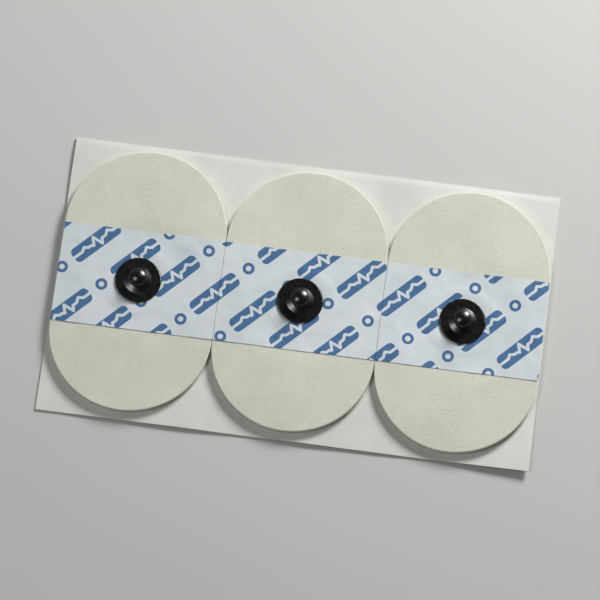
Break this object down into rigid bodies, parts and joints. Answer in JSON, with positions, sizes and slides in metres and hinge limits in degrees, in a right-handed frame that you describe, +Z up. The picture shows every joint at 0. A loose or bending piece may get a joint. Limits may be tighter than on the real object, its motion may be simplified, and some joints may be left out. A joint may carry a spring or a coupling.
{
  "type": "ecg electrode",
  "caption": "Strip of snap-stud ECG monitoring electrodes: die-cut foam pads with gel, film labels and black studs on one release liner.",
  "frame": {"origin": "middle of the release liner's underside, on the surface that the strip lies on", "axes": "+X along the strip through the studs, +Y across it along each pad's length, +Z up from the liner towards the studs"},
  "size_m": [0.1062, 0.0614, 0.0055],
  "materials": {
    "release_liner": "smooth siliconised",
    "foam": "closed-cell foam, matt",
    "label_film": "printed film, satin",
    "stud_plastic": "carbon-filled, moulded, semi-gloss",
    "sensor_coat": "silver and silver chloride coat, dull",
    "gel": "clear gel, wet"
  },
  "bodies": {
    "root": {"release_liner": "release_liner", "foam_pad_1": "foam", "foam_pad_2": "foam", "foam_pad_3": "foam", "gel_disc_1": "gel", "gel_disc_2": "gel", "gel_disc_3": "gel", "sensor_eyelet_1": "sensor_coat", "sensor_eyelet_2": "sensor_coat", "sensor_eyelet_3": "sensor_coat", "film_label_1": "label_film", "film_label_2": "label_film", "film_label_3": "label_film", "snap_stud_1": "stud_plastic", "snap_stud_2": "stud_plastic", "snap_stud_3": "stud_plastic"}
  },
  "joints": []
}
